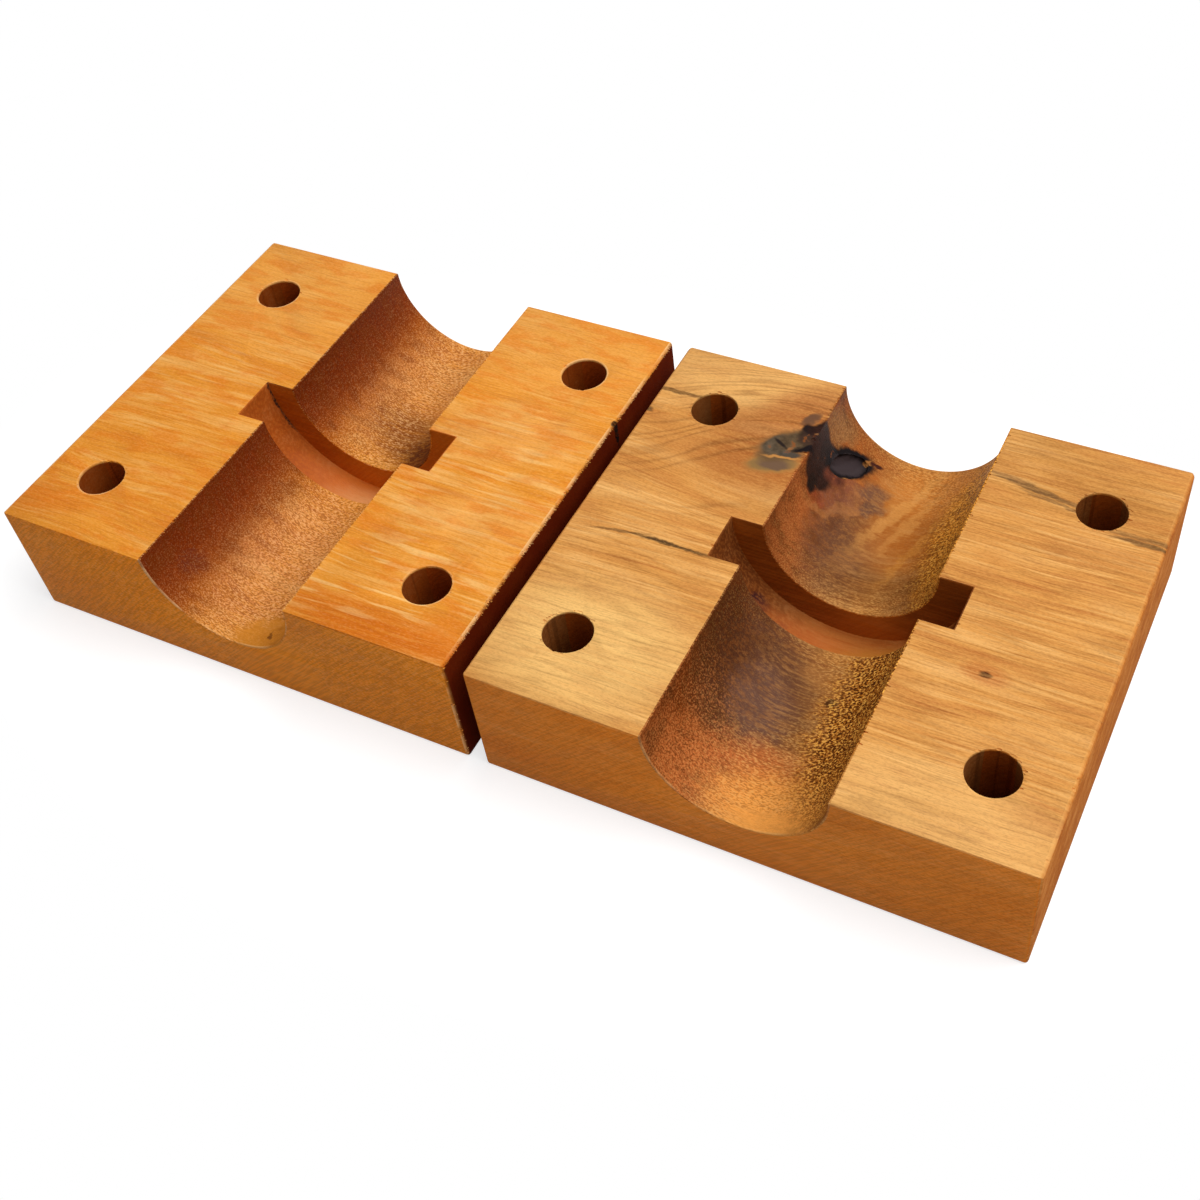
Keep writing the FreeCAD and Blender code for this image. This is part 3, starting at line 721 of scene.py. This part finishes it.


# Each half's own wood: colours, shares of each marking, and ovals on the rolled-out surface.
# An oval is its name, middle and radii in millimetres, turn in degrees, softness, and then what it carries:
# a stain, painted shade or painted highlight its colour and share, bark its colour and whether it is
# cracked, coarse grain its share and pale colour, lens figure its share.
looks = {
    "left_half": {
        "name": "oiledMapleAmber",
        "pale": "#e8a654", "body": "#e09030", "deep": "#d27f2a", "line": "#9a5216",
        "lens": "#f4c880", "face": "#ff9018", "wornAndGlint": "#f0c890", "uneven": "#d8761c",
        "fleckDark": "#702e06", "fleckPale": "#eeb87c", "grooveFloor": "#b85420", "grooveWall": "#b0500c",
        "boreTint": "#a86c4c", "leftTint": "#c08c64", "rightTint": "#683317", "holeTint": "#90685a",
        "bandShare": 1.2, "streakShare": 0.7, "lineShare": 0.06, "knotLines": 0.0, "dashShare": 0.2,
        "sawShare": 0.28, "rimShare": 0.45, "edgeWearAndGlintShare": 0.4, "frayShare": 0.6,
        "landFleck": 0.1, "faceFleck": 0.2, "boreFleck": 0.5, "wallDull": 0.8,
        "landUneven": 0.5, "boreUneven": 0.65, "boreLeast": 0.0, "stainAndLightLeast": 0.7,
        "figure": {"Pith": (0, 15, -95), "Ring Width": 3.0, "Curl": 1.2, "Knot": (0, 0, 0),
                   "Knot Reach": 0.01, "Knot Push": 0.0, "Knot Lift": (0, 0, 0)},
        "lensed": [
            ("lensFront", (80, -40), (24, 10), 10, 0.6, 0.6),
            ("lensMiddle", (88, -4), (22, 18), 10, 0.7, 0.35),
            ("lensInner", (-26, 4), (22, 12), 0, 0.7, 0.2),
        ],
        "stainsAndLight": {
            "Land": [
                ("landFrontOrange", (88, -53), (24, 4.6), 0, 0.6, "#c86414", 0.85),
                ("landFrontOrange2", (-40, -50), (14, 4), 10, 0.7, "#cc6410", 0.5),
                ("landPaleMid", (84.7, 12.5), (14, 8), 10, 0.8, "#f6c47a", 0.25),
                ("landPaleMid2", (93.2, -15.7), (14, 6), 10, 0.8, "#f4bc72", 0.25),
                ("landBack", (84, 44), (24, 14), 0, 0.7, "#e4a04c", 0.6),
                ("landLeftBack", (-22, 40), (22, 18), 0, 0.7, "#e8a450", 0.6),
                ("splinterRoot", (107.4, 24.6), (1.3, 0.6), 0, 0.3, "#1a120d", 0.95),
            ],
            "Block End": [("splinterMark", (106.9, 24.6), (1.5, 0.8), 0, 0.3, "#120c0a", 1.0)],
            "Bore": [
                ("boreDarkWall", (-2.0, -31.9), (13.5, 36), 0, 0.8, "#5e1c04", 0.78),
                ("boreDarkWallBack", (-2.0, 33.6), (13, 30), 0, 0.8, "#5a1a04", 0.85),
                ("boreShade", (47.5, 22), (6.5, 27), 0, 0.7, "#4e2008", 1.0),
                # painted highlight: a pink sheen along the bore's bottom, front and back
                ("borePink", (30, -32), (9, 20), 0, 0.8, "#d08a58", 0.5),
                ("borePinkHighlightBack", (29, 36), (9, 22), 0, 0.8, "#cc8650", 0.5),
                ("boreSmudge", (11.8, -45.9), (3.2, 2.3), 40, 0.7, "#5a2420", 0.5),
                ("boreSmudgeBack", (36, 18), (12, 6), -30, 0.8, "#6b3010", 0.7),
                ("boreSmudgeDark", (45, 12), (8, 4), -20, 0.6, "#4a2212", 0.6),
                ("boreGold", (42, -54), (11, 6), 0, 0.2, "#cc8028", 0.9),
                ("boreDash", (41, -52.5), (1.4, 0.5), -60, 0.4, "#6e3a10", 0.8),
            ],
            "Groove Floor": [
                ("grooveDark", (4, 1), (14, 8), 0, 0.6, "#7a3008", 0.6),
                ("groovePink", (24, -2), (10, 5), 0, 0.7, "#b05c30", 0.5),
                ("grooveGold", (37, -3), (10, 6), 0, 0.7, "#dca064", 0.75),
                ("grooveLine", (-1, 6.2), (9, 0.6), 0, 0.4, "#2e1c18", 0.95),
            ],
            "Groove Wall": [("wallDark", (8, 6.3), (14, 4), 0, 0.6, "#7c3006", 0.6)],
        },
        "glazed": [("goldPatch", (42, -54), (11, 6), 0, 0.2), ("shadeLip", (46, 20), (8, 22), 0, 0.5)],
        "coarse": [],
        "bark": [],
    },
    "right_half": {
        "name": "oiledMapleTan",
        "pale": "#e6ae68", "body": "#d2924a", "deep": "#b87236", "line": "#6c3e18",
        "lens": "#f0c888", "face": "#f48006", "wornAndGlint": "#e6b878", "uneven": "#b87840",
        "fleckDark": "#4a2409", "fleckPale": "#dca860", "grooveFloor": "#9c4a14", "grooveWall": "#88390c",
        "boreTint": "#9a7254", "leftTint": "#e0bc9c", "rightTint": "#e8c8ac", "holeTint": "#8c7264",
        "bandShare": 0.9, "streakShare": 0.68, "lineShare": 0.2, "knotLines": 0.42, "dashShare": 0.22,
        "sawShare": 0.18, "rimShare": 0.05, "edgeWearAndGlintShare": 0.3, "frayShare": 0.1,
        "landFleck": 0.13, "faceFleck": 0.14, "boreFleck": 0.4, "wallDull": 0.55,
        "landUneven": 0.2, "boreUneven": 0.5, "boreLeast": 0.35, "stainAndLightLeast": 0.7,
        "figure": {"Pith": (0, -150, 5), "Ring Width": 3.0, "Curl": 0.6, "Knot": (-24, 33, 33),
                   "Knot Reach": 40.0, "Knot Push": 0.4, "Knot Lift": (0, -24, 0)},
        "lensed": [],
        "stainsAndLight": {
            "Land": [
                ("landFrontPale", (-21.6, -40), (20, 14), 0, 0.7, "#f2c478", 0.75),
                ("landBackPale", (-20, 48), (24, 9), 0, 0.7, "#eebc74", 0.5),
                ("landRightFrontPale", (84, -50), (22, 8), 0, 0.7, "#f2c078", 0.5),
                ("landSwirl", (-22, 24), (18, 12), -20, 0.7, "#b87434", 0.3),
                ("landHalo", (-5, 32), (17, 13), 20, 0.6, "#a05a28", 0.85),
                ("haloBrown", (-14, 33), (5, 5), 0, 0.7, "#9a5c2c", 0.5),
                ("landHaloBack", (-4, 45), (10, 8), 40, 0.6, "#a86230", 0.7),
                ("haloPale", (-10, 36.5), (9, 2.2), 10, 0.6, "#c88c50", 0.5),
                ("holeStreak", (-39.5, 40.7), (8.0, 0.65), 0, 0.5, "#2c2418", 0.85),
                ("dashStreak", (-42.1, 32.8), (1.6, 0.5), -20, 0.5, "#3a3020", 0.8),
                ("notchStreak", (-17.3, -6.6), (9.5, 0.45), 0, 0.5, "#2c2014", 0.9),
                ("longStreak", (-30.4, -7.0), (6.5, 0.35), 10, 0.5, "#4a3820", 0.7),
                ("greyLine", (76, 39.5), (12, 0.8), -10, 0.5, "#34312a", 1.0),
                ("greyLine2", (82, 36.8), (8, 0.5), -10, 0.5, "#4c4232", 0.8),
                ("edgeLine", (102.4, 31.5), (6.5, 0.7), 0, 0.5, "#3c3020", 0.85),
                ("edgeBand", (102, 33.2), (7.5, 0.6), 0, 0.5, "#54422a", 0.7),
                ("brownBand", (95.7, 24.7), (11.5, 3.3), 0, 0.6, "#b9783c", 0.4),
                ("backBand", (84, 46), (22, 9), -10, 0.7, "#ae7638", 0.5),
                ("pinHalo", (82.4, -15.5), (4.0, 2.2), 0, 0.7, "#b4602a", 0.65),
                ("pinKnot", (82.4, -15.5), (1.3, 0.9), 0, 0.4, "#3a160a", 1.0),
            ],
            "Bore": [
                ("knotHalo", (6.0, 38.0), (20, 13), 40, 0.5, "#a0521e", 0.8),
                ("palePatch", (7, 49.5), (7, 4), 40, 0.5, "#94683c", 0.8),
                ("backBrown", (6, 18), (13, 14), 0, 0.6, "#ac6030", 0.8),
                # purple-grey in the middle of the bore: partly the wood's own colour, partly a painted
                # reflection
                ("backPurpleSheen", (24, 24), (9, 14), 0, 0.6, "#583828", 0.85),
                ("backGold", (43, 40), (15, 18), -20, 0.5, "#a25a1c", 0.85),
                ("backGoldRight", (40, 50), (9, 8), 0, 0.7, "#dc8a3a", 0.45),
                ("backShade", (36, 14.5), (11, 4.5), 10, 0.7, "#6a3c16", 0.6),
                # painted highlights: soft pale streaks running across the back of the bore
                ("goldStreak", (33, 42.6), (13, 1.2), 70, 0.95, "#dca054", 0.4),
                ("goldStreakHighlight2", (36.4, 38), (9, 1.0), 70, 0.95, "#d4964c", 0.4),
                ("goldStreakHighlight3", (41, 30), (10, 1.0), 70, 0.95, "#d08e3c", 0.35),
                ("goldStreakHighlight4", (29, 24), (8, 1.4), 60, 0.9, "#b87a40", 0.2),
                ("knotRed", (11.3, 29.4), (2.4, 1.6), 30, 0.6, "#b04414", 0.9),
                ("wallMauve", (15.5, 35), (7, 4.5), 40, 0.7, "#7c4a36", 0.75),
                ("goldArc", (11.8, 26.8), (4.4, 1.1), 10, 0.9, "#b87a44", 0.3),
                ("goldArc2", (18, 30.4), (5.0, 1.1), 40, 0.9, "#b87a44", 0.35),
                ("goldArc3", (21.4, 36.4), (3.8, 1.1), 90, 0.9, "#b07440", 0.3),
                ("greySpot", (24.4, 42.5), (3.2, 2.2), 20, 0.8, "#5c4236", 0.75),
                ("greySpot2", (25.3, 37.5), (2.6, 1.6), 40, 0.8, "#5c4236", 0.75),
                ("backOlive", (58, 33.6), (11, 26), 0, 0.5, "#ea9428", 0.9),
                ("frontDark", (-4, -26), (18, 28), 0, 0.7, "#7a3208", 0.9),
                # purple-grey in the middle of the bore: partly the wood's own colour, partly a painted
                # reflection
                ("frontPurpleSheen", (20, -22), (20, 15), -60, 0.5, "#563423", 0.95),
                ("frontBlack", (6, -20), (8, 12), 20, 0.7, "#381806", 0.6),
                ("frontMauve", (24, -27), (8, 6), -60, 0.7, "#6e5044", 0.5),
                ("frontTan", (38, -14), (6, 3), 0, 0.7, "#a8703a", 0.5),
                ("frontOrange", (22, -48), (18, 8), 20, 0.6, "#be6630", 0.85),
                ("frontGold", (40, -51.5), (13, 7), 0, 0.7, "#ee9e48", 0.85),
                ("frontShade", (55, -24), (14, 26), 0, 0.5, "#be6c12", 0.8),
                ("pinhole", (39.2, -20.8), (1.9, 1.1), -50, 0.3, "#1e120a", 0.9),
            ],
            "Groove Floor": [
                ("grooveDark", (4, 1), (17, 8), 0, 0.6, "#4e200a", 0.85),
                ("grooveSpot", (15, 0), (3.2, 2.0), 30, 0.6, "#34181c", 0.9),
                ("grooveSpot2", (21, -1.5), (2.2, 1.0), 50, 0.6, "#5a2c22", 0.8),
                ("groovePink", (27, -2), (8, 4), 0, 0.7, "#ac5826", 0.6),
                ("grooveGold", (47, -2), (12, 4.6), 0, 0.6, "#bc7e2c", 0.75),
                # painted shade: the right end of the groove floor, where the notch's wall shades it
                ("grooveRightShade", (67, 0), (8, 9), 0, 0.5, "#44180a", 0.9),
            ],
            "Groove Wall": [
                ("wallDark", (12, 6.3), (16, 4), 0, 0.6, "#461a06", 0.6),
                # painted shade: the right end of the groove wall
                ("wallRightShade", (58, 6.3), (12, 4), 0, 0.6, "#542408", 0.6),
            ],
        },
        "glazed": [
            ("goldFront", (40, -55), (9, 3.5), 0, 0.6),
            ("purpleMiddle", (22, -21), (14, 13), -60, 0.4),
            ("knotWall", (26, 31), (17, 20), 20, 0.4),
        ],
        "coarse": [
            ("lipFlecks", (8, -44), (14, 16), 0, 0.5, 0.5, "#b8703c"),
            ("frontFlecks", (53, -24), (14, 28), 0, 0.35, 1.0, "#f0b050"),
            ("olivePatch", (58, 31), (13, 26), 0, 0.4, 0.8, "#e8ac4c"),
        ],
        "bark": [
            ("lowerRim", (-6.4, 25.6), (6.2, 3.0), 20, 0.3, "#a0703a", False),
            ("lowerOlive", (-6.4, 25.6), (5.4, 2.3), 20, 0.2, "#84643a", False),
            ("lowerGrey", (-6.0, 25.5), (3.6, 1.6), 10, 0.3, "#6a503c", False),
            ("upperRim", (-6.2, 33.0), (6.8, 3.7), 40, 0.25, "#845a32", False),
            ("lobeJoin", (-6.0, 29.0), (5.0, 2.2), 20, 0.4, "#644a30", False),
            ("upperGrey", (-7.0, 32.0), (4.5, 3.2), 30, 0.2, "#524434", True),
            ("upperBrown", (-3.4, 35.0), (5.0, 3.1), 40, 0.25, "#52402c", True),
            ("lowerStrip", (-3.6, 29.8), (2.4, 0.9), 10, 0.4, "#4a4036", False),
            ("goldLine", (-4.9, 28.4), (3.9, 0.4), 10, 0.6, "#b47c40", False),
            ("topGrey", (-3.5, 43.0), (2.6, 1.1), 60, 0.5, "#684630", False),
            ("upperRight", (-0.8, 37.2), (3.4, 3.0), 30, 0.3, "#38261c", True),
            ("topLeft", (-2.4, 39.6), (2.0, 1.6), -40, 0.3, "#1c100e", False),
            ("barTop", (2.2, 41.2), (5.0, 3.2), 20, 0.2, "#2a140d", True),
            ("barMiddle", (4.4, 37.6), (5.6, 4.6), -40, 0.2, "#2e160f", True),
            ("barLower", (7.2, 34.2), (6.2, 4.6), 10, 0.2, "#2e1a13", True),
            ("barTip", (8.2, 30.4), (2.0, 2.4), 0, 0.3, "#20140f", False),
            ("redBrown", (13.0, 38.4), (3.0, 1.8), 30, 0.7, "#5c2f20", True),
            ("blackArm", (-0.4, 33.2), (3.8, 0.9), 30, 0.4, "#140c0e", False),
            ("upperCrack", (-7.0, 32.6), (2.0, 0.4), -30, 0.5, "#241a16", False),
            ("goldSpots", (-4.4, 31.7), (0.8, 0.35), 60, 0.6, "#7c5230", False),
            ("goldSpot", (-0.5, 38.9), (0.5, 0.35), 30, 0.6, "#7c5230", False),
            ("barkNeck", (8.4, 41.2), (4.2, 3.2), 20, 0.25, "#22140f", True),
            # near-black bark, with a painted shadow along the hollow's rim; the grey floor inside is partly
            # a painted sheen
            ("barkHollowAndShadow", (15.0, 45.2), (8.2, 4.1), 40, 0.15, "#120c0d", False),
            ("hollowFloorSheen", (15.2, 45.0), (5.4, 2.3), 40, 0.3, "#3a3031", False),
            ("tailGold", (19.8, 50.1), (1.0, 0.6), 30, 0.5, "#94602f", False),
            ("barkTail", (21.7, 50.8), (1.7, 0.5), 20, 0.4, "#3a1810", False),
        ],
    },
}

gap = 4.6  # millimetres between the two halves as they lie
halves = {
    "left_half": {"piece": "leftHalf", "slot": "left_wood", "centreX": -(block["Width"] + gap) / 2},
    "right_half": {"piece": "rightHalf", "slot": "right_wood", "centreX": (block["Width"] + gap) / 2},
}
smoothAngle = 24  # degrees between faces that still shade as one

blockTree, pocketTree = halfBlockTree(), barkPocketTree()
tearTree, fibreTree = tornGrainTree(), looseFibreTree()
for node, half in halves.items():
    piece = bpy.data.objects.new(half["piece"], bpy.data.meshes.new("start"))
    bpy.context.scene.collection.objects.link(piece)
    wood = oiledWood(looks[node], half["centreX"])
    sizes = {name: size * mm for name, size in block.items()}
    sizes.update({"Centre X": half["centreX"] * mm, "Wood": wood})
    wornEdges(runTree(piece, blockTree, sizes), half["centreX"] * mm)
    if node == "right_half":
        runTree(piece, pocketTree, {**pocketValues(half["centreX"]), "Wood": wood})
    tear, fibre = tears[node], fibres[node]
    runTree(piece, tearTree, {**sizes, **tear, "Notch": Vector(tear["Notch"]) * mm * 2})
    mesh = runTree(piece, fibreTree,
                   {**sizes, **fibre,
                    "Fibre Long": fibre["Fibre Long"] * mm, "Fibre Thick": fibre["Fibre Thick"] * mm,
                    "Splinter Place": Vector(splinter["place"]) * mm,
                    "Splinter Turn": Euler(splinter["turn"]), "Splinter Grow": splinter["grow"]})
    mesh.materials.clear()
    mesh.materials.append(wood)
    mesh.polygons.foreach_set("material_index", [0] * len(mesh.polygons))
    mesh.shade_smooth()
    mesh.set_sharp_from_angle(angle=math.radians(smoothAngle))
    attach(piece, "root")
    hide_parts(node)
    print(half["piece"], "stands for", node)


# Paper sweep: white to the eye, with the blocks' faint shadow on it within the reach, in metres.
studio = {
    "paper": "#b8b8b8",
    "lift": 0.65,            # glow that brings the paper up to white
    "reach": (0.19, 0.115, 1.0),
    "floorSize": 6,
    "room": 0.35,            # light of the white room on the blocks
}
white = (1, 1, 1, 1)


def seenDirectly(tree):
    # the eye, and a mirror or glass, see plain white; the blocks do not get that light
    path = addNode(tree, "LightPath").outputs
    seen = addNode(tree, "Math", "MAXIMUM", {0: path["Is Camera Ray"], 1: path["Is Glossy Ray"]})
    return addNode(tree, "Math", "MAXIMUM", {0: seen, 1: path["Is Transmission Ray"]})


def whiteFloor():
    # matt paper, rolled out without a fold: no gloss, and only a faint shadow
    material = bpy.data.materials.new("whitePaperSweep")
    material.use_nodes = True
    tree = material.node_tree
    tree.nodes.clear()
    seen = seenDirectly(tree)
    paper = addNode(tree, "BsdfDiffuse", None, {"Color": hexToLinear(studio["paper"])})
    lift = addNode(tree, "Math", "MULTIPLY", {0: seen, 1: studio["lift"]})
    glow = addNode(tree, "Emission", None, {"Color": white, "Strength": lift})
    lit = addNode(tree, "AddShader", None, {0: paper, 1: glow})
    place = addNode(tree, "TexCoord").outputs["Object"]
    place = addNode(tree, "VectorMath", "DIVIDE", {0: place, 1: studio["reach"]})
    place = addNode(tree, "VectorMath", "LENGTH", {0: place})
    clear = addNode(tree, "Math", "GREATER_THAN", {0: place, 1: 1.0})
    clear = addNode(tree, "Math", "MULTIPLY", {0: clear, 1: seen})
    plain = addNode(tree, "Emission", None, {"Color": white, "Strength": 1.0})
    mixed = addNode(tree, "MixShader", None, {0: clear, 1: lit, 2: plain})
    addNode(tree, "OutputMaterial", None, {"Surface": mixed})
    return material


bpy.ops.mesh.primitive_plane_add(size=studio["floorSize"])
floor = bpy.context.object
floor.name = "paperFloor"
floor.data.materials.append(whiteFloor())

world = bpy.data.worlds.new("softRoom")
bpy.context.scene.world = world
world.use_nodes = True
room = world.node_tree
room.nodes.clear()
level = addNode(room, "MapRange", None,
                {"Value": seenDirectly(room), "To Min": studio["room"], "To Max": 1.0})
air = addNode(room, "Background", None, {"Color": white, "Strength": level})
addNode(room, "OutputWorld", None, {"Surface": air})

lamps = {
    "softboxAbove": {"place": (0.38, 0.12, 0.85), "aim": (0, 0, 0), "size": 0.8, "watts": 9.5},
}
for name, lamp in lamps.items():
    light = bpy.data.lights.new(name, "AREA")
    light.shape = "SQUARE"
    light.size = lamp["size"]
    light.energy = lamp["watts"]
    lampObject = bpy.data.objects.new(name, light)
    lampObject.location = lamp["place"]
    aim = Vector(lamp["aim"]) - Vector(lamp["place"])
    lampObject.rotation_euler = aim.to_track_quat("-Z", "Y").to_euler()
    bpy.context.scene.collection.objects.link(lampObject)

# The photograph's viewing angle, fitted to the corners and rims of the blocks.
view = {
    "eye": (0.15085, -0.21375, 0.29112),
    "turn": (41.0217, 5.1651, 26.3708),
    "sensor": 36,
    "lens": 46.7678692,
    "shift": (-0.04013256, -0.00310232),
}
camera = bpy.data.objects.new("camera", bpy.data.cameras.new("camera"))
camera.data.sensor_fit = "HORIZONTAL"
camera.data.sensor_width = view["sensor"]
camera.data.lens = view["lens"]
camera.data.shift_x, camera.data.shift_y = view["shift"]
camera.data.clip_start = 0.01
camera.location = view["eye"]
camera.rotation_euler = Euler([math.radians(a) for a in view["turn"]], "XYZ")
bpy.context.scene.collection.objects.link(camera)
bpy.context.scene.camera = camera
bpy.context.scene.view_settings.view_transform = "Standard"
print("floor, room, lamps and camera ready")
